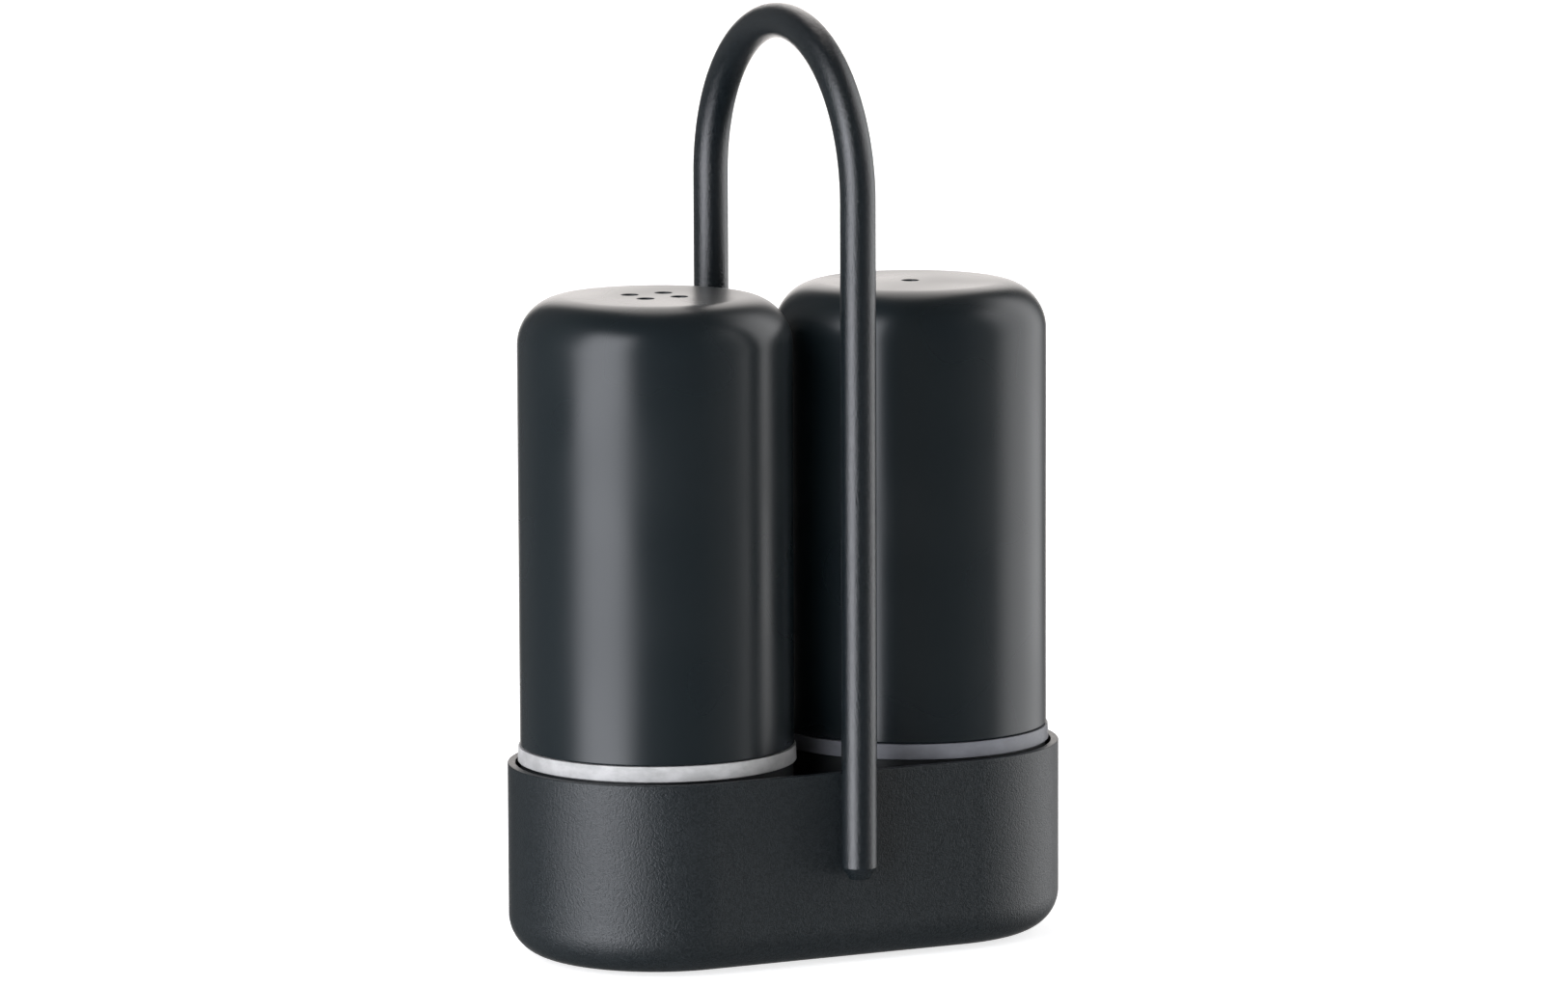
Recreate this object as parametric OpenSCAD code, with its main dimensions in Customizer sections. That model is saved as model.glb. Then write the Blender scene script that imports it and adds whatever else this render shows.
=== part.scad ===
// Salt and pepper shakers standing in a carrier tray with a tall bent-rod handle.
// Millimetres, +Z up. The origin is on the table, under the middle of the tray.
// The shakers stand side by side along X, and the handle's arch spans Y.

/* [Shaker shells] */
// Outside diameter of a shaker's upper shell
shell_d = 48; // [44:0.5:52]
// Length of a shell, from its open lower edge to its flat top
shell_h = 78.8; // [60:0.1:84]
// Thickness of a shell's side, shoulder and top
shell_wall = 0.9; // [0.7:0.1:1.2]
// Outside radius of a shell's rounded shoulder
shoulder_r = 8.5; // [5:0.5:10]
// Space between the two shells
shell_gap = 1.8; // [1.4:0.1:3]
// Diameter of a sprinkling hole
hole_d = 3; // [2:0.1:4]
// Distance between neighbouring holes of the salt shaker
hole_pitch = 6.5; // [5:0.5:8]

/* [Colour rings] */
// Height of the coloured band that shows below a shell
band_h = 2.7; // [2:0.1:4]
// How far the band stands proud of the shell, at its top
band_proud = 0.3; // [0.2:0.05:0.4]
// How much wider the band is at its lower edge
band_flare = 0.12; // [0:0.02:0.14]
// Seam between a shell's lower edge and the band
seam = 0.1; // [0.05:0.05:0.3]
// Height of the plug that reaches up inside the shell
plug_h = 8.6; // [7:0.1:10]
// Thickness of a seal ring's cord
seal_d = 2; // [1.6:0.1:2.2]

/* [Cups] */
// How far a cup's side stays inside the shell's side
cup_step = 0.1; // [0:0.05:0.3]
// Thickness of a cup's side and floor
cup_wall = 1.6; // [1.2:0.1:2]
// Outside radius of a cup's rounded lower edge
cup_edge = 5; // [4:0.1:5.2]
// Diameter of a cup's neck, outside
neck_d = 40; // [38:0.2:40.4]
// Diameter of a shaker's foot pad
foot_d = 28; // [20:1:32]

/* [Carrier tray] */
// Height of the tray from its own underside to its rim
tray_h = 33.8; // [30:0.1:38]
// Thickness of the tray's side and floor
tray_wall = 1.4; // [1:0.1:1.6]
// Room between a shell's diameter and the tray's inside, on each side
tray_play = 0.8; // [0.7:0.1:1.5]
// Outside radius of the tray's rounded lower edge
tray_edge = 7; // [6.6:0.1:7.4]
// How far the base pad stands proud of the tray's underside
pad_proud = 0.5; // [0.3:0.1:1]

/* [Handle] */
// Diameter of the handle's rod
rod_d = 6.2; // [5.8:0.1:7]
// Height of the handle's top above the table
handle_top = 166.2; // [160:0.1:185]
// Height above the table at which the rod's ends stop
rod_end = 16; // [14:0.1:17]
// Diameter of the handle screws
screw_d = 3; // [2.4:0.1:3]
// Distance between the two screws of one leg
screw_pitch = 8.5; // [8:0.1:9]

/* [Hidden] */
$fn = 96;

// Small clearances and depths
fit = 0.05;         // between pieces that are pressed or screwed together
slide_fit = 0.15;   // between a plug and the shell that pulls off it
recess = 0.5;       // depth of the pockets that hold the pads
cut = 1;            // how far a cutting shape runs past the face that it opens

// Plan
shell_r = shell_d / 2;
shaker_x = shell_r + shell_gap / 2;
tray_in_r = shell_r + tray_play;
tray_r = tray_in_r + tray_wall;
leg_y = tray_r + rod_d / 2;
base_pad_r = tray_r - tray_edge - 1.5;

// Heights above the table
rim_z = pad_proud + tray_h;
floor_z = pad_proud + tray_wall;
foot_proud = 0.6;
cup_z = floor_z + foot_proud;
band_z = rim_z + 0.3;
band_top_z = band_z + band_h;
shell_z = band_top_z + seam;
plug_top_z = band_top_z + plug_h;
neck_top_z = plug_top_z - 1;
seal_z = plug_top_z - 3.2;
arch_z = handle_top - rod_d / 2 - leg_y;

// Shaker radii
shell_in_r = shell_r - shell_wall;
plug_r = shell_in_r - slide_fit;
seal_out_r = shell_in_r - fit;
cup_r = shell_r - cup_step;
neck_r = neck_d / 2;
mouth_r = neck_r - cup_wall;

// Handle fixing
screw_r = screw_d / 2;
head_r = screw_d * 0.87;
head_h = screw_d / 2;
screw_reach = 3.6;  // length of thread in the rod
screw_heights = [rod_end + 5.8, rod_end + 5.8 + screw_pitch];

// Half outline of a cup: flat top, straight side, rounded lower edge
module cup_outline(r, h, edge) {
    square([r - edge, h]);
    translate([0, edge]) square([r, h - edge]);
    translate([r - edge, edge]) circle(edge);
}

// Round cup solid standing on z = 0
module round_cup(r, h, edge) {
    rotate_extrude() cup_outline(r, h, edge);
}

// Two half turns of an outline, joined by a straight stretch along X
module stadium(half_length) {
    for (turn = [0, 180])
        rotate(turn) translate([half_length, 0, 0]) rotate(-90) rotate_extrude(angle = 180) children();
    translate([-half_length, 0, 0]) rotate([90, 0, 90]) linear_extrude(2 * half_length) {
        children();
        mirror([1, 0]) children();
    }
}

module carrier_tray() {
    color([0.13, 0.14, 0.15]) difference() {
        translate([0, 0, pad_proud]) stadium(shaker_x) cup_outline(tray_r, tray_h, tray_edge);
        translate([0, 0, floor_z])
            stadium(shaker_x) cup_outline(tray_in_r, tray_h, tray_edge - tray_wall);
        translate([0, 0, pad_proud - cut])
            stadium(shaker_x) square([base_pad_r + fit, recess + cut]);
        each_screw(0) cylinder(r = screw_r + fit, h = tray_wall + 2 * cut, center = true);
    }
}

// Puts its children at each screw, with their +Z pointing out through the tray's side.
// They stand away from the side's middle by the given offset.
module each_screw(offset_out) {
    for (side = [-1, 1], z = screw_heights)
        translate([0, side * (tray_r - tray_wall / 2 + offset_out), z])
            rotate([-90 * side, 0, 0]) children();
}

module carrier_handle() {
    color([0.12, 0.13, 0.13]) difference() {
        union() {
            translate([0, 0, arch_z]) rotate([90, 0, 90]) rotate_extrude(angle = 180)
                translate([leg_y, 0]) circle(d = rod_d);
            for (side = [-1, 1]) translate([0, side * leg_y, 0]) rod_leg();
        }
        each_screw(tray_wall / 2)
            translate([0, 0, -cut]) cylinder(r = screw_r + fit, h = screw_reach + cut + 0.4);
    }
}

// Straight leg, with its lower end turned to a blunt cone
module rod_leg() {
    blunt_h = 2.1;
    blunt_w = 1.4;
    translate([0, 0, rod_end + blunt_h]) cylinder(d = rod_d, h = arch_z - rod_end - blunt_h);
    translate([0, 0, rod_end]) cylinder(r1 = rod_d / 2 - blunt_w, r2 = rod_d / 2, h = blunt_h);
}

module handle_screws() {
    color([0.55, 0.56, 0.58]) each_screw(-tray_wall / 2) difference() {
        union() {
            translate([0, 0, -head_h]) cylinder(r = head_r, h = head_h);
            cylinder(r = screw_r, h = tray_wall + screw_reach);
        }
        translate([0, 0, -head_h - cut]) cylinder(r = screw_r * 0.6, h = cut + head_h * 0.7, $fn = 6);
    }
}

module carrier_base_pad() {
    color([0.07, 0.07, 0.07]) stadium(shaker_x) square([base_pad_r, pad_proud + recess]);
}

// Upper shell: a drawn can with its open end down and its sprinkling holes on top
module shell(holes) {
    color([0.14, 0.15, 0.16]) difference() {
        translate([0, 0, shell_z + shell_h]) mirror([0, 0, 1]) round_cup(shell_r, shell_h, shoulder_r);
        translate([0, 0, shell_z + shell_h - shell_wall]) mirror([0, 0, 1])
            round_cup(shell_in_r, shell_h, shoulder_r - shell_wall);
        for (at = holes) translate([at[0], at[1], shell_z + shell_h - shell_wall - cut])
            cylinder(d = hole_d, h = shell_wall + 2 * cut);
    }
}

// Colour ring: the band that shows, and the plug with its seal groove inside the shell
module colour_ring(tint) {
    color(tint) rotate_extrude() difference() {
        polygon([
            [neck_r + fit, band_z],
            [shell_r + band_proud + band_flare, band_z],
            [shell_r + band_proud, band_top_z],
            [plug_r, band_top_z],
            [plug_r, plug_top_z],
            [mouth_r, plug_top_z],
            [mouth_r, neck_top_z],
            [neck_r + fit, neck_top_z]
        ]);
        translate([seal_out_r - seal_d - fit, seal_z - seal_d * 0.6]) square([seal_d * 2, seal_d * 1.2]);
    }
}

module seal_ring() {
    color([0.05, 0.05, 0.05]) rotate_extrude()
        translate([seal_out_r - seal_d / 2, seal_z]) circle(d = seal_d);
}

// Lower cup: holds the salt or the pepper, and carries the colour ring on its neck
module cup() {
    shoulder_z = band_z - cup_wall;
    cone_h = 2;
    color([0.10, 0.11, 0.12]) difference() {
        union() {
            translate([0, 0, cup_z]) round_cup(cup_r, band_z - cup_z, cup_edge);
            translate([0, 0, band_z - cut]) cylinder(r = neck_r, h = neck_top_z - band_z + cut);
        }
        translate([0, 0, cup_z + cup_wall])
            round_cup(cup_r - cup_wall, shoulder_z - cone_h - cup_z - cup_wall, cup_edge - cup_wall);
        translate([0, 0, shoulder_z - cone_h])
            cylinder(r1 = cup_r - cup_wall, r2 = mouth_r, h = cone_h);
        translate([0, 0, shoulder_z]) cylinder(r = mouth_r, h = neck_top_z - shoulder_z + cut);
        translate([0, 0, cup_z - cut]) cylinder(d = foot_d + 2 * fit, h = recess + cut);
    }
}

module foot_pad() {
    color([0.07, 0.07, 0.07]) translate([0, 0, floor_z]) cylinder(d = foot_d, h = foot_proud + recess);
}

// The salt shaker stands at -X and has four holes, the pepper shaker at +X and has one
salt_at = [-shaker_x, 0, 0];
pepper_at = [shaker_x, 0, 0];
salt_holes = [for (i = [-1, 1], j = [-1, 1]) [i, j] * hole_pitch / 2];
pepper_holes = [[0, 0]];

carrier_tray();
carrier_handle();
handle_screws();
carrier_base_pad();
translate(salt_at) shell(salt_holes);  // salt_shell
translate(salt_at) colour_ring([0.80, 0.80, 0.79]);  // salt_colour_ring
translate(salt_at) seal_ring();  // salt_seal_ring
translate(salt_at) cup();  // salt_cup
translate(salt_at) foot_pad();  // salt_foot_pad
translate(pepper_at) shell(pepper_holes);  // pepper_shell
translate(pepper_at) colour_ring([0.40, 0.42, 0.45]);  // pepper_colour_ring
translate(pepper_at) seal_ring();  // pepper_seal_ring
translate(pepper_at) cup();  // pepper_cup
translate(pepper_at) foot_pad();  // pepper_foot_pad
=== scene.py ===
"""Looks for the salt and pepper set: two satin black shakers in a powder-coated carrier with a tall
bent-rod handle.

Each CAD node is replaced by a finer mesh of the same size, with rounded edges and a procedural material.
Lengths are in metres, except in mesh outlines and from the section of sizes on, where they are in
millimetres. Sizes come from the frame's boxes wherever a node shows them.
"""
import math

import bmesh
import bpy
from mathutils import Matrix, Vector


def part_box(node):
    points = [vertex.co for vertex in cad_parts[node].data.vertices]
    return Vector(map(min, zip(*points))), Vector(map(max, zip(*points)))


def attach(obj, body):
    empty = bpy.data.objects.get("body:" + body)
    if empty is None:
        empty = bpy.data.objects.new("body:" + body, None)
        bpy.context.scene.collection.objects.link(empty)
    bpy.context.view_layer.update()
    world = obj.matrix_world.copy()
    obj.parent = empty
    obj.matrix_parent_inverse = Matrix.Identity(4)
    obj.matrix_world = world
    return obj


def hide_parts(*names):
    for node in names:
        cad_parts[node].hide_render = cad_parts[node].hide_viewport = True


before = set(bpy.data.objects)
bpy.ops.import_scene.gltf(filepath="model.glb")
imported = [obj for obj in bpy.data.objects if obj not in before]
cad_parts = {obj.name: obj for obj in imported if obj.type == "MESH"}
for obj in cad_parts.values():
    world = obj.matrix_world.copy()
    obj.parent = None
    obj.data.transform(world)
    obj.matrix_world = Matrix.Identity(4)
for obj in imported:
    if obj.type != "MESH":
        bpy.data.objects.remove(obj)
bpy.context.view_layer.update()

MM = 0.001


# ---------------------------------------------------------------- camera

VIEW_AZIMUTH = math.radians(26.01)    # the camera looks this far round from +Y towards +X
VIEW_ELEVATION = math.radians(7.84)
VIEW_DISTANCE = 1.458
VIEW_TARGET = Vector((0, 0, 86.5 * MM))
VIEW_DROP = 0.00453                   # how far the camera aims below its target, as a slope
VIEW_ROLL = math.radians(-0.22)
LENS_MM = 190.7
SENSOR_MM = 36
VIEW_LIMIT = 50                       # the camera sees nothing farther than this

away = Vector((math.sin(VIEW_AZIMUTH), math.cos(VIEW_AZIMUTH), 0))      # from the camera, level
rightward = Vector((math.cos(VIEW_AZIMUTH), -math.sin(VIEW_AZIMUTH), 0))


def make_camera():
    forward = away * math.cos(VIEW_ELEVATION) - Vector((0, 0, math.sin(VIEW_ELEVATION)))
    place = VIEW_TARGET - forward * VIEW_DISTANCE
    upward = rightward.cross(forward)
    aim = (forward - upward * VIEW_DROP).normalized()
    data = bpy.data.cameras.new("camera")
    data.sensor_width = SENSOR_MM
    data.lens = LENS_MM
    data.clip_end = VIEW_LIMIT
    camera = bpy.data.objects.new("camera", data)
    side = aim.cross(Vector((0, 0, 1))).normalized()
    turn = Matrix((side, side.cross(aim), -aim)).transposed()
    camera.matrix_world = Matrix.Translation(place) @ turn.to_4x4() @ Matrix.Rotation(VIEW_ROLL, 4, "Z")
    bpy.context.scene.collection.objects.link(camera)
    bpy.context.scene.camera = camera


# ---------------------------------------------------------------- studio

def bearing(degrees):
    """Level direction, turned from the one that faces the camera; positive is to the camera's right."""
    angle = math.radians(degrees)
    return rightward * math.sin(angle) - away * math.cos(angle)


class Nodes:
    """Short way to add nodes to a node tree and to link them."""

    def __init__(self, tree):
        self.tree = tree
        tree.nodes.clear()

    def add(self, kind, inputs=None, **settings):
        node = self.tree.nodes.new(kind)
        for name, value in settings.items():
            setattr(node, name, value)
        for name, value in (inputs or {}).items():
            self.feed(node.inputs[name], value)
        return node

    def feed(self, socket, value):
        if isinstance(value, bpy.types.NodeSocket):
            self.tree.links.new(value, socket)
        elif isinstance(value, bpy.types.Node):
            self.tree.links.new(value.outputs[0], socket)
        else:
            socket.default_value = value

    def math(self, operation, a, b=0.0):
        node = self.add("ShaderNodeMath", operation=operation)
        self.feed(node.inputs[0], a)
        self.feed(node.inputs[1], b)
        return node.outputs[0]

    def ramp(self, value, low, high, out_low=0.0, out_high=1.0):
        node = self.add("ShaderNodeMapRange", interpolation_type="SMOOTHSTEP", inputs={
            "Value": value, "From Min": low, "From Max": high, "To Min": out_low, "To Max": out_high})
        return node.outputs["Result"]


# Soft walls of light round the set. Each has its bearing, its half width at full strength and at none
# (degrees), its strength, the sines of the elevations between which it grows at its foot and between
# which it fades at its head, and its tint.
USUAL_FOOT = (-0.55, -0.24)
USUAL_HEAD = (0.60, 0.86)
WALLS = [
    (180, 7, 18, 1.8, USUAL_FOOT, (0.78, 0.995), (1.00, 0.953, 0.924)),       # white backdrop
    (113, 14, 41, 2.0, USUAL_FOOT, USUAL_HEAD, (0.985, 0.985, 1.00)),         # white wall on the right
    (78, 5, 40, 0.22, USUAL_FOOT, USUAL_HEAD, (0.97, 0.985, 1.00)),           # light that it spills forward
    (-108, 20, 50, 0.08, USUAL_FOOT, USUAL_HEAD, (0.98, 0.99, 1.00)),         # dim wall on the left
    (-44.5, 11, 30, 5.5, (-0.70, -0.38), USUAL_HEAD, (0.925, 0.94, 1.00)),    # softbox
]
ROOM_LIGHT = 0.13                     # even light from all round, besides the walls
LIGHT_MAP_WIDTH = 1024                # resolution of the map that guides where light is sampled
FLOOR_RADIUS = 4.5
FLOOR_GLOW = 0.74
FLOOR_ALBEDO = 0.8
DOME_RADIUS = 5
DOME_GLOW = 1.05


def make_world():
    bpy.context.scene.view_settings.view_transform = "Standard"
    world = bpy.data.worlds.new("studio")
    bpy.context.scene.world = world
    world.use_nodes = True
    n = Nodes(world.node_tree)
    direction = n.add("ShaderNodeTexCoord").outputs["Generated"]
    split = n.add("ShaderNodeSeparateXYZ", inputs={"Vector": direction})
    level = n.add("ShaderNodeVectorMath", operation="NORMALIZE", inputs={
        0: n.add("ShaderNodeCombineXYZ", inputs={"X": split.outputs["X"], "Y": split.outputs["Y"]})})
    height = split.outputs["Z"]
    light = (0, 0, 0)
    for degrees, full, none, strength, foot, head, tint in WALLS:
        along = n.add("ShaderNodeVectorMath", operation="DOT_PRODUCT",
                      inputs={0: level, 1: bearing(degrees)}).outputs["Value"]
        wall = n.ramp(along, math.cos(math.radians(none)), math.cos(math.radians(full)), 0, strength)
        wall = n.math("MULTIPLY", wall, n.ramp(height, *foot, 0, 1))
        wall = n.math("MULTIPLY", wall, n.ramp(height, *head, 1, 0))
        tinted = n.add("ShaderNodeVectorMath", operation="SCALE", inputs={0: tint, "Scale": wall})
        light = n.add("ShaderNodeVectorMath", operation="ADD", inputs={0: light, 1: tinted})
    light = n.add("ShaderNodeVectorMath", operation="ADD", inputs={0: light, 1: (ROOM_LIGHT,) * 3})
    background = n.add("ShaderNodeBackground", inputs={"Color": light})
    n.add("ShaderNodeOutputWorld", inputs={"Surface": background})
    world.cycles.sampling_method = "MANUAL"
    world.cycles.sample_map_resolution = LIGHT_MAP_WIDTH


def glowing(name, glow, albedo):
    """Pale stage material: a matt surface with an even glow, so that it stays pale all over."""
    material = bpy.data.materials.new(name)
    material.use_nodes = True
    n = Nodes(material.node_tree)
    n.add("ShaderNodeOutputMaterial", inputs={"Surface": n.add("ShaderNodeAddShader", inputs={
        0: n.add("ShaderNodeEmission", inputs={"Color": (1, 1, 1, 1), "Strength": glow}),
        1: n.add("ShaderNodeBsdfDiffuse", inputs={"Color": (albedo, albedo, albedo, 1)})})})
    return material


def make_stage():
    """White floor that no reflection shows, and a white dome that only the camera sees.
    The walls of light do the lighting."""
    mesh = bmesh.new()
    bmesh.ops.create_circle(mesh, cap_ends=True, segments=96, radius=FLOOR_RADIUS)
    floor = finished(mesh, "stage_floor", glowing("stage_floor", FLOOR_GLOW, FLOOR_ALBEDO))
    floor.visible_glossy = False
    floor.visible_shadow = False
    mesh = bmesh.new()
    bmesh.ops.create_uvsphere(mesh, u_segments=48, v_segments=24, radius=DOME_RADIUS)
    dome = finished(mesh, "stage_dome", glowing("stage_dome", DOME_GLOW, 0))
    dome.visible_diffuse = False
    dome.visible_glossy = False
    dome.visible_shadow = False
    dome.visible_transmission = False


# ---------------------------------------------------------------- mesh building

MERGE_DISTANCE = 1e-7
SHARP_ANGLE = math.radians(35)


def finished(mesh, name, material):
    """Object from a bmesh, with smooth faces that keep their flat stretches flat."""
    bmesh.ops.remove_doubles(mesh, verts=mesh.verts, dist=MERGE_DISTANCE)
    bmesh.ops.recalc_face_normals(mesh, faces=mesh.faces)
    data = bpy.data.meshes.new(name)
    mesh.to_mesh(data)
    mesh.free()
    data.shade_smooth()
    data.set_sharp_from_angle(angle=SHARP_ANGLE)
    data.materials.append(material)
    thing = bpy.data.objects.new(name, data)
    bpy.context.scene.collection.objects.link(thing)
    weighted = thing.modifiers.new("even_shading", "WEIGHTED_NORMAL")
    weighted.keep_sharp = True
    weighted.weight = 60
    return thing


def rounded(corners, closed=True, turn_per_step=7.5):
    """Outline through corners (r, z, rounding), where each rounding is an arc tangent to both sides."""
    points = []
    for i, (r, z, rounding) in enumerate(corners):
        here = Vector((r, z))
        at_end = not closed and i in (0, len(corners) - 1)
        if rounding == 0 or at_end:
            points.append(here)
            continue
        to_last = (Vector(corners[i - 1][:2]) - here).normalized()
        to_next = (Vector(corners[(i + 1) % len(corners)][:2]) - here).normalized()
        half = to_last.angle(to_next) / 2
        centre = here + (to_last + to_next).normalized() * rounding / math.sin(half)
        start = here + to_last * rounding / math.tan(half) - centre
        end = here + to_next * rounding / math.tan(half) - centre
        steps = max(3, math.ceil(math.degrees(start.angle(end)) / turn_per_step))
        swing = start.angle_signed(end)
        for k in range(steps + 1):
            angle = -swing * k / steps
            points.append(centre + Matrix.Rotation(angle, 2) @ start)
    return points


def bridge(mesh, rings):
    """Quads between neighbouring rings of vertices, each ring closed on itself."""
    for lower, upper in zip(rings, rings[1:]):
        for i in range(len(lower)):
            j = (i + 1) % len(lower)
            mesh.faces.new((lower[i], lower[j], upper[j], upper[i]))


def turned(mesh, points, closed=True, middle=(0, 0), half_length=0, segments=144):
    """Turns an outline in millimetres about a vertical axis through the middle.
    A half length pulls the turn apart along X, into a racetrack."""
    rings = []
    for r, z in points:
        ring = []
        for i in range(segments):
            angle = 2 * math.pi * (i + 0.5) / segments
            x = middle[0] + math.copysign(half_length, math.cos(angle)) + r * math.cos(angle)
            y = middle[1] + r * math.sin(angle)
            ring.append(mesh.verts.new(Vector((x, y, z)) * MM))
        rings.append(ring)
    bridge(mesh, rings + rings[:1] if closed else rings)
    return rings


def ring_edges(mesh, ring):
    return [mesh.edges.get((ring[i - 1], ring[i])) for i in range(len(ring))]


# ---------------------------------------------------------------- materials

NOISE_LUMP = 0.6          # size of the lumps that noise of scale 1 has


def surface_material(name):
    """New material with its node helper and the object's own coordinates."""
    material = bpy.data.materials.new(name)
    material.use_nodes = True
    n = Nodes(material.node_tree)
    return material, n, n.add("ShaderNodeTexCoord").outputs["Object"]


def grain(n, where, size, detail=2.0, roughness=0.5):
    """Noise whose lumps are about the given size, in metres."""
    noise = n.add("ShaderNodeTexNoise", inputs={
        "Vector": where, "Scale": NOISE_LUMP / size, "Detail": detail, "Roughness": roughness})
    return noise.outputs["Fac"]


def bump(n, height, depth, over=None):
    """Surface normal from a height of 0 to 1, scaled to a depth in metres."""
    inputs = {"Height": height, "Distance": depth, "Strength": 1.0}
    if over is not None:
        inputs["Normal"] = over
    return n.add("ShaderNodeBump", inputs=inputs).outputs["Normal"]


def blend_colour(n, share, first, second):
    mix = n.add("ShaderNodeMix", data_type="RGBA")
    n.feed(mix.inputs["Factor"], share)
    n.feed(mix.inputs["A"], (*first, 1))
    n.feed(mix.inputs["B"], (*second, 1))
    return mix.outputs["Result"]


def surface(n, **inputs):
    shader = n.add("ShaderNodeBsdfPrincipled", inputs={k.replace("_", " "): v for k, v in inputs.items()})
    n.add("ShaderNodeOutputMaterial", inputs={"Surface": shader})


def satin_lacquer():
    """Shells: black satin lacquer, almost smooth, with faint orange peel, dust and clouds of uneven gloss."""
    material, n, here = surface_material("satin_lacquer")
    clouds = grain(n, here, 14 * MM, 1)
    peel = grain(n, here, 3 * MM, 0)
    dust = grain(n, here, 0.2 * MM, 1)
    surface(
        n,
        Base_Color=blend_colour(n, clouds, (0.0054, 0.0090, 0.0110), (0.0070, 0.0110, 0.0132)),
        Roughness=n.ramp(clouds, 0.2, 0.8, 0.24, 0.34),
        IOR=1.47,
        Normal=bump(n, dust, 0.0008 * MM, over=bump(n, peel, 0.004 * MM)),
    )
    return material


def powder_coat(name, lump, depth, roughness, ior, colours):
    """Carrier: powder coat with fine lumps, a little cloudiness and grains that catch the light."""
    material, n, here = surface_material(name)
    lumps = grain(n, here, lump, 2, 0.6)
    fine = grain(n, here, lump * 0.5, 1)
    clouds = grain(n, here, 9 * MM, 2)
    low, high = roughness
    surface(
        n,
        Base_Color=blend_colour(n, n.ramp(n.math("ADD", lumps, fine), 0.7, 1.3), *colours),
        Roughness=n.ramp(n.math("ADD", fine, n.math("MULTIPLY", clouds, 0.5)), 0.45, 1.05, low, high),
        IOR=ior,
        Normal=bump(n, n.math("ADD", lumps, n.math("MULTIPLY", fine, 0.4)), depth),
    )
    return material


def moulded(name, colours, roughness, depth):
    """Moulded plastic: fine mould texture, faint flow marks that run level and a soft sheen."""
    material, n, here = surface_material(name)
    texture = grain(n, here, 0.25 * MM, 2)
    stretched = n.add("ShaderNodeVectorMath", operation="MULTIPLY", inputs={0: here, 1: (0.5, 0.5, 1)})
    flow = grain(n, stretched, 1.6 * MM, 4, 0.65)
    low, high = roughness
    surface(
        n,
        Base_Color=blend_colour(n, n.ramp(flow, 0.28, 0.72), *colours),
        Roughness=n.ramp(n.math("ADD", texture, flow), 0.7, 1.3, low, high),
        IOR=1.46,
        Normal=bump(n, texture, depth),
    )
    return material


def rubber(name, depth):
    """Soft black rubber: dull, with a fine grain and paler rubbed patches."""
    material, n, here = surface_material(name)
    texture = grain(n, here, 0.3 * MM, 3, 0.7)
    patches = grain(n, here, 5 * MM, 3)
    surface(
        n,
        Base_Color=blend_colour(n, patches, (0.010, 0.010, 0.010), (0.022, 0.021, 0.020)),
        Roughness=n.ramp(patches, 0.3, 0.7, 0.62, 0.8),
        Normal=bump(n, texture, depth),
    )
    return material


def zinc_steel():
    """Screws: zinc-plated steel, with a fine grain that is drawn out along Y, the axis of every screw."""
    material, n, here = surface_material("zinc_steel")
    drawn = n.add("ShaderNodeVectorMath", operation="MULTIPLY", inputs={0: here, 1: (6000, 600, 6000)})
    marks = n.add("ShaderNodeTexNoise", inputs={"Vector": drawn, "Scale": 1.0, "Detail": 2.0}).outputs["Fac"]
    surface(
        n,
        Base_Color=blend_colour(n, grain(n, here, 1.5 * MM, 3), (0.52, 0.53, 0.55), (0.63, 0.63, 0.62)),
        Metallic=1.0,
        Roughness=n.ramp(marks, 0.3, 0.7, 0.24, 0.4),
        Normal=bump(n, marks, 0.004 * MM),
    )
    return material


# ---------------------------------------------------------------- sizes, in millimetres

SHELL_WALL = 0.9
SHOULDER = 8.5
HOLE_RADIUS = 1.5
HOLE_PITCH = 6.5
HOLE_LIP = 0.18
TOP_RIM = 1               # flat strip between the shoulder and the face that holds the holes
SEAL_CORD = 2.0
GROOVE_ROOM = 0.2         # above and below a seal, in its groove
BAND_HEIGHT = 2.7
BAND_FLARE = 0.12
BAND_PROUD = 0.3
PLUG_PLAY = 0.15
PLUG_LIP = 1              # thickness of the plug's lip over the end of the cup's neck
FIT = 0.05
NECK_RADIUS = 20.0
CUP_WALL = 1.6
CUP_EDGE = 5.0
CUP_SLOPE = 2             # height of the cup's inner slope, under the ledge
TRAY_WALL = 1.4
TRAY_EDGE = 7.0
PAD_POCKET = 0.5
GROOVE_DEPTH = 0.4        # of the grooves in the undersides of the pads
GROOVE_WIDTH = 0.8
GROOVE_SLOPE = 0.3
FOOT_GROOVE = 3.3         # from a pad's edge in to the inner edge of its groove's bed
BASE_GROOVES = (6.5, 3.0)
BLUNT_WIDTH = 1.4
BLUNT_HEIGHT = 2.1
BLUNT_SHANK = 2           # first straight stretch above a rod end's cone
ROD_SIDES = 72
LEG_STEPS = 12
ARCH_STEPS = 120
SCREW_RADIUS = 1.5
HEAD_HEIGHT = 1.5
SOCKET_REACH = 0.78       # from a socket's middle to its flats
SOCKET_DEPTH = 1.05
SOCKET_RIM = 0.3          # flat strip round a socket


def round_box(node):
    """Radius, middle (x, y), bottom and top of a round CAD node."""
    low, high = (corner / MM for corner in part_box(node))
    return (high.y - low.y) / 2, ((low.x + high.x) / 2, (low.y + high.y) / 2), low.z, high.z


def racetrack_box(node):
    """End radius, half length, bottom and top of a racetrack-shaped CAD node."""
    low, high = (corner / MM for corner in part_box(node))
    return high.y, high.x - high.y, low.z, high.z


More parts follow.
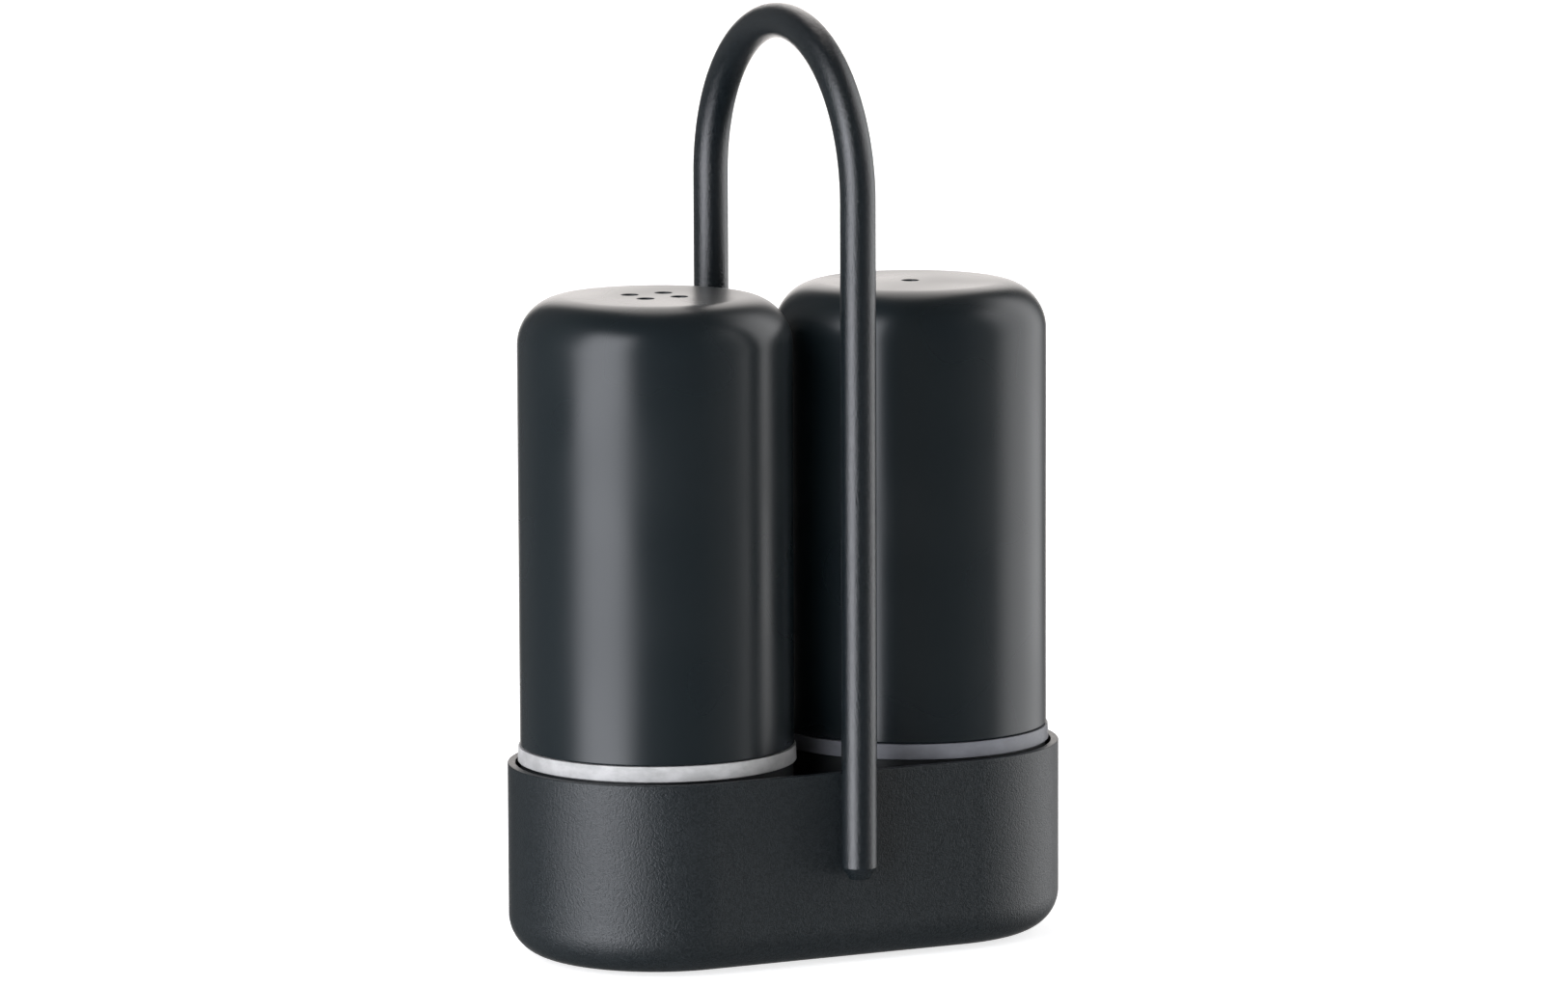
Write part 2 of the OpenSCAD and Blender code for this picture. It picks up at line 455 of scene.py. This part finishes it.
def pad_groove(edge, bottom):
    """Outline of a moulded groove in a pad's underside, whose bed reaches outward from an edge."""
    return [
        (edge - GROOVE_SLOPE, bottom, 0.1),
        (edge, bottom + GROOVE_DEPTH, 0.1),
        (edge + GROOVE_WIDTH, bottom + GROOVE_DEPTH, 0.1),
        (edge + GROOVE_WIDTH + GROOVE_SLOPE, bottom, 0.1),
    ]


def place(thing, node, body, slot):
    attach(thing, body)
    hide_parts(node)


# ---------------------------------------------------------------- shakers

def make_shell(kind, holes, material):
    """Drawn can, open end down, with rounded sprinkling holes through its flat top."""
    radius, middle, bottom, top = round_box(f"{kind}_shell")
    ceiling = top - SHELL_WALL
    flat = radius - SHOULDER - TOP_RIM
    mesh = bmesh.new()
    side = turned(mesh, rounded([
        (flat, top, 0),
        (radius, top, SHOULDER),
        (radius, bottom, 0.3),
        (radius - SHELL_WALL, bottom, 0.2),
        (radius - SHELL_WALL, ceiling, SHOULDER - SHELL_WALL),
        (flat, ceiling, 0),
    ], closed=False, turn_per_step=3), closed=False, middle=middle, segments=192)
    bores = [turned(mesh, rounded([
        (HOLE_RADIUS + 2 * HOLE_LIP, top, 0),
        (HOLE_RADIUS, top, HOLE_LIP),
        (HOLE_RADIUS, ceiling, HOLE_LIP),
        (HOLE_RADIUS + 2 * HOLE_LIP, ceiling, 0),
    ], closed=False), closed=False, middle=(middle[0] + x, middle[1] + y), segments=48) for x, y in holes]
    for level in (0, -1):
        rims = ring_edges(mesh, side[level])
        for bore in bores:
            rims += ring_edges(mesh, bore[level])
        bmesh.ops.triangle_fill(mesh, edges=rims, use_beauty=True)
    place(finished(mesh, f"{kind}_can", material), f"{kind}_shell", f"{kind}_top", "shell_coat")


def make_colour_ring(kind, material, slot):
    """Band that shows below the shell, and the plug with its seal groove that reaches up inside it."""
    radius, middle, bottom, top = round_box(f"{kind}_colour_ring")
    seal_radius, _, seal_bottom, seal_top = round_box(f"{kind}_seal_ring")
    shell_radius = radius - BAND_PROUD - BAND_FLARE
    plug = shell_radius - SHELL_WALL - PLUG_PLAY
    groove = seal_radius - SEAL_CORD - FIT
    mouth = NECK_RADIUS - CUP_WALL
    mesh = bmesh.new()
    turned(mesh, rounded([
        (NECK_RADIUS + FIT, bottom, 0.1),
        (radius, bottom, 0.15),
        (radius - BAND_FLARE, bottom + BAND_HEIGHT, 0.12),
        (plug, bottom + BAND_HEIGHT, 0.1),
        (plug, seal_bottom - GROOVE_ROOM, 0.12),
        (groove, seal_bottom - GROOVE_ROOM, 0.15),
        (groove, seal_top + GROOVE_ROOM, 0.15),
        (plug, seal_top + GROOVE_ROOM, 0.12),
        (plug, top, 0.5),
        (mouth, top, 0.3),
        (mouth, top - PLUG_LIP, 0.1),
        (NECK_RADIUS + FIT, top - PLUG_LIP, 0.1),
    ]), middle=middle, segments=192)
    place(finished(mesh, f"{kind}_band_and_plug", material), f"{kind}_colour_ring", f"{kind}_base", slot)


def make_seal(kind, material):
    radius, middle, bottom, top = round_box(f"{kind}_seal_ring")
    cord = (top - bottom) / 2
    ring = [(radius - cord + cord * math.cos(a), (bottom + top) / 2 + cord * math.sin(a))
            for a in (2 * math.pi * i / 24 for i in range(24))]
    mesh = bmesh.new()
    turned(mesh, ring, middle=middle)
    place(finished(mesh, f"{kind}_seal", material), f"{kind}_seal_ring", f"{kind}_base", "seal_rubber")


def make_cup(kind, material):
    """Lower cup: rounded lower edge, a ledge for the colour ring, and a neck."""
    radius, middle, bottom, top = round_box(f"{kind}_cup")
    foot_radius, _, _, foot_top = round_box(f"{kind}_foot_pad")
    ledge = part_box(f"{kind}_colour_ring")[0].z / MM
    inside = radius - CUP_WALL
    mesh = bmesh.new()
    turned(mesh, rounded([
        (0, foot_top, 0),
        (foot_radius + FIT, foot_top, 0.1),
        (foot_radius + FIT, bottom, 0.2),
        (radius, bottom, CUP_EDGE),
        (radius, ledge, 0.2),
        (NECK_RADIUS, ledge, 0.2),
        (NECK_RADIUS, top, 0.3),
        (NECK_RADIUS - CUP_WALL, top, 0.3),
        (NECK_RADIUS - CUP_WALL, ledge - CUP_WALL, 0.8),
        (inside, ledge - CUP_WALL - CUP_SLOPE, 0.8),
        (inside, bottom + CUP_WALL, CUP_EDGE - CUP_WALL),
        (0, bottom + CUP_WALL, 0),
    ], closed=False), closed=False, middle=middle)
    place(finished(mesh, f"{kind}_base_cup", material), f"{kind}_cup", f"{kind}_base", "cup_plastic")


def make_foot(kind, material):
    """Foot pad with one moulded groove in its underside."""
    radius, middle, bottom, top = round_box(f"{kind}_foot_pad")
    mesh = bmesh.new()
    turned(mesh, rounded([
        (0, bottom, 0),
        *pad_groove(radius - FOOT_GROOVE, bottom),
        (radius, bottom, 0.3),
        (radius, top, 0.1),
        (0, top, 0),
    ], closed=False), closed=False, middle=middle, segments=96)
    place(finished(mesh, f"{kind}_foot", material), f"{kind}_foot_pad", f"{kind}_base", "pad_rubber")


# ---------------------------------------------------------------- carrier

def make_tray(material):
    """Round-ended tub with a soft lower edge, a square rim and a pocket for the base pad."""
    radius, half_length, bottom, top = racetrack_box("carrier_tray")
    pad_radius = racetrack_box("carrier_base_pad")[0]
    inside = radius - TRAY_WALL
    floor = bottom + TRAY_WALL
    mesh = bmesh.new()
    turned(mesh, rounded([
        (0, bottom + PAD_POCKET, 0),
        (pad_radius + FIT, bottom + PAD_POCKET, 0.1),
        (pad_radius + FIT, bottom, 0.2),
        (radius, bottom, TRAY_EDGE),
        (radius, top, 0.2),
        (inside, top, 0.15),
        (inside, floor, TRAY_EDGE - TRAY_WALL),
        (0, floor, 0),
    ], closed=False, turn_per_step=4), closed=False, half_length=half_length, segments=192)
    place(finished(mesh, "tray", material), "carrier_tray", "carrier", "powder_coat")


def make_base_pad(material):
    """Non-slip pad with two moulded grooves that follow its edge."""
    radius, half_length, bottom, top = racetrack_box("carrier_base_pad")
    grooves = [corner for inset in BASE_GROOVES for corner in pad_groove(radius - inset, bottom)]
    mesh = bmesh.new()
    turned(mesh, rounded([
        (0, bottom, 0),
        *grooves,
        (radius, bottom, 0.3),
        (radius, top, 0.1),
        (0, top, 0),
    ], closed=False), closed=False, half_length=half_length)
    place(finished(mesh, "tray_pad", material), "carrier_base_pad", "carrier", "pad_rubber")


def make_handle(material):
    """One bent rod: up the front leg, over a half-round arch and down the rear leg, with blunt cone ends."""
    low, high = (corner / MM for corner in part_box("carrier_handle"))
    rod = high.x
    leg = high.y - rod
    arch_z = high.z - rod - leg
    straight = arch_z - low.z
    whole = 2 * straight + math.pi * leg

    def centre_and_outward(distance):
        """Point on the rod's centre line, and the direction out of the arch there."""
        if distance < straight:
            return Vector((0, -leg, low.z + distance)), Vector((0, -1, 0))
        if distance > whole - straight:
            return Vector((0, leg, low.z + whole - distance)), Vector((0, 1, 0))
        angle = (distance - straight) / leg
        outward = Vector((0, -math.cos(angle), math.sin(angle)))
        return Vector((0, 0, arch_z)) + outward * leg, outward

    blunt = rounded([(0, 0, 0), (rod - BLUNT_WIDTH, 0, 0.2), (rod, BLUNT_HEIGHT, 0.35),
                     (rod, BLUNT_HEIGHT + BLUNT_SHANK, 0)], closed=False)
    first_leg = [straight * k / LEG_STEPS for k in range(1, LEG_STEPS + 1)]
    arch = [straight + math.pi * leg * k / ARCH_STEPS for k in range(1, ARCH_STEPS)]
    last_leg = [whole - d for d in reversed(first_leg)]
    stations = [(d, r) for r, d in blunt]
    stations += [(d, rod) for d in first_leg + arch + last_leg]
    stations += [(whole - d, r) for r, d in reversed(blunt)]
    mesh = bmesh.new()
    rings = []
    for distance, radius in stations:
        centre, outward = centre_and_outward(distance)
        ring = []
        for i in range(ROD_SIDES):
            angle = 2 * math.pi * i / ROD_SIDES
            spoke = outward * math.cos(angle) + Vector((1, 0, 0)) * math.sin(angle)
            ring.append(mesh.verts.new((centre + spoke * radius) * MM))
        rings.append(ring)
    bridge(mesh, rings)
    place(finished(mesh, "handle", material), "carrier_handle", "carrier", "rod_coat")


def make_screws(material):
    """Four pan-head screws with hexagon sockets, driven from inside the tray into the handle's legs."""
    low, high = (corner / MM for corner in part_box("handle_screws"))
    head_radius = high.x
    wall_face = racetrack_box("carrier_tray")[0] - TRAY_WALL
    for side, place_name in ((-1, "front"), (1, "rear")):
        for z, level in ((low.z + head_radius, "lower"), (high.z - head_radius, "upper")):
            mesh = bmesh.new()
            socket = [
                (0, SOCKET_DEPTH - HEAD_HEIGHT),
                (SOCKET_REACH, SOCKET_DEPTH - HEAD_HEIGHT),
                (SOCKET_REACH, -HEAD_HEIGHT),
            ]
            outside = rounded([
                (SOCKET_REACH + SOCKET_RIM, -HEAD_HEIGHT, 0),
                (head_radius, -HEAD_HEIGHT, 0.5),
                (head_radius, 0, 0.1),
                (SCREW_RADIUS, 0, 0.05),
                (SCREW_RADIUS, high.y - wall_face, 0.3),
                (0, high.y - wall_face, 0),
            ], closed=False)
            rings = turned(mesh, socket + outside, closed=False, segments=72)
            for ring in rings[1:3]:
                for i, vertex in enumerate(ring):
                    off_flat = (360 * (i + 0.5) / len(ring)) % 60 - 30
                    vertex.co.xy /= math.cos(math.radians(off_flat))
            turn = Matrix.Rotation(math.radians(-90 * side), 4, "X")
            spot = Matrix.Translation(Vector((0, side * wall_face, z)) * MM)
            bmesh.ops.transform(mesh, matrix=spot @ turn, verts=mesh.verts)
            screw = finished(mesh, f"{place_name}_{level}_screw", material)
            place(screw, "handle_screws", "carrier", "screw_steel")


# ---------------------------------------------------------------- the set

make_camera()
make_world()
make_stage()

lacquer = satin_lacquer()
cup_plastic = moulded("cup_plastic", ((0.010, 0.012, 0.013), (0.014, 0.016, 0.017)), (0.42, 0.55), 0.010 * MM)
seal_rubber = rubber("seal_rubber", 0.002 * MM)
pad_rubber = rubber("pad_rubber", 0.015 * MM)
half_pitch = HOLE_PITCH / 2
shakers = {
    "salt": ([(x, y) for x in (-half_pitch, half_pitch) for y in (-half_pitch, half_pitch)],
             moulded("light_ring", ((0.36, 0.36, 0.356), (0.515, 0.514, 0.512)), (0.36, 0.52), 0.012 * MM),
             "light_ring"),
    "pepper": ([(0, 0)],
               moulded("dark_ring", ((0.145, 0.149, 0.165), (0.180, 0.186, 0.205)), (0.36, 0.52), 0.012 * MM),
               "dark_ring"),
}
for kind, (holes, ring_material, ring_slot) in shakers.items():
    make_shell(kind, holes, lacquer)
    make_colour_ring(kind, ring_material, ring_slot)
    make_seal(kind, seal_rubber)
    make_cup(kind, cup_plastic)
    make_foot(kind, pad_rubber)

make_tray(powder_coat("tray_coat", 0.26 * MM, 0.095 * MM, (0.37, 0.48), 1.54,
                      ((0.0010, 0.0035, 0.0050), (0.0120, 0.0165, 0.0190))))
make_handle(powder_coat("rod_coat", 0.21 * MM, 0.074 * MM, (0.05, 0.12), 1.60,
                        ((0.0020, 0.0038, 0.0050), (0.0095, 0.0125, 0.0145))))
make_base_pad(pad_rubber)
make_screws(zinc_steel())
